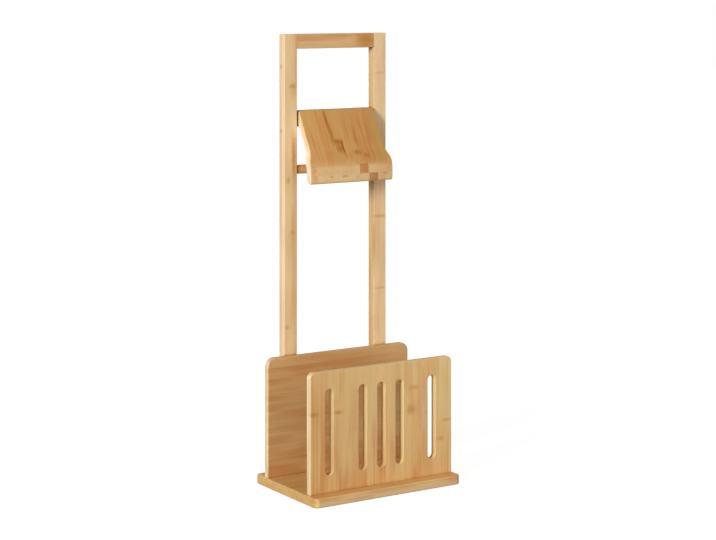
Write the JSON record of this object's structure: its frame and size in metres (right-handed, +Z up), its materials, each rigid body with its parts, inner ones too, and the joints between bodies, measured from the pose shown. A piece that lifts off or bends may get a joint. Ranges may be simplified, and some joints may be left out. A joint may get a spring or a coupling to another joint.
{
  "type": "toilet roll and magazine stand",
  "caption": "Free-standing bamboo bathroom stand with a slotted magazine rack on its base and a frame that holds a roll rod under a hinged cover.",
  "frame": {"origin": "on the floor, under the centre of the base board", "axes": "+X to the right along the front panel, +Y from the front panel to the frame, +Z up along the uprights"},
  "size_m": [0.3, 0.2, 0.7875],
  "materials": {
    "base_bamboo": "satin lacquer",
    "front_panel_bamboo": "satin lacquer",
    "back_panel_bamboo": "satin lacquer",
    "left_upright_bamboo": "satin lacquer",
    "right_upright_bamboo": "satin lacquer",
    "rail_bamboo": "satin lacquer",
    "cover_bamboo": "satin lacquer",
    "rod_bamboo": "satin lacquer",
    "hinge_brass": "plain",
    "screw_steel": "zinc plated",
    "pad_rubber": "matt"
  },
  "bodies": {
    "frame": {"base_board": "base_bamboo", "front_panel": "front_panel_bamboo", "back_panel": "back_panel_bamboo", "left_upright": "left_upright_bamboo", "right_upright": "right_upright_bamboo", "top_rail": "rail_bamboo", "cover_bar": "rail_bamboo", "left_hinge_bar_leaf": "hinge_brass", "right_hinge_bar_leaf": "hinge_brass", "hinge_pins": "screw_steel", "bar_leaf_screws": "hinge_brass", "rail_dowels": "rod_bamboo", "bar_dowels": "rod_bamboo", "front_panel_screws": "screw_steel", "back_panel_screws": "screw_steel", "upright_foot_screws": "screw_steel", "upright_panel_screws": "screw_steel", "foot_pads": "pad_rubber"},
    "cover": {"cover": "cover_bamboo", "left_hinge_cover_leaf": "hinge_brass", "right_hinge_cover_leaf": "hinge_brass", "cover_leaf_screws": "hinge_brass"},
    "rod": {"holder_rod": "rod_bamboo"}
  },
  "joints": [
    {"name": "cover_hinge", "type": "hinge", "parent": "frame", "child": "cover", "pos_m": [0, 0.07385, 0.652], "axis": [-1, 0, 0], "range_deg": [0, 145]},
    {"name": "rod_slide", "type": "slide", "parent": "frame", "child": "rod", "axis": [1, 0, 0], "range_m": [0, 0.009]}
  ]
}
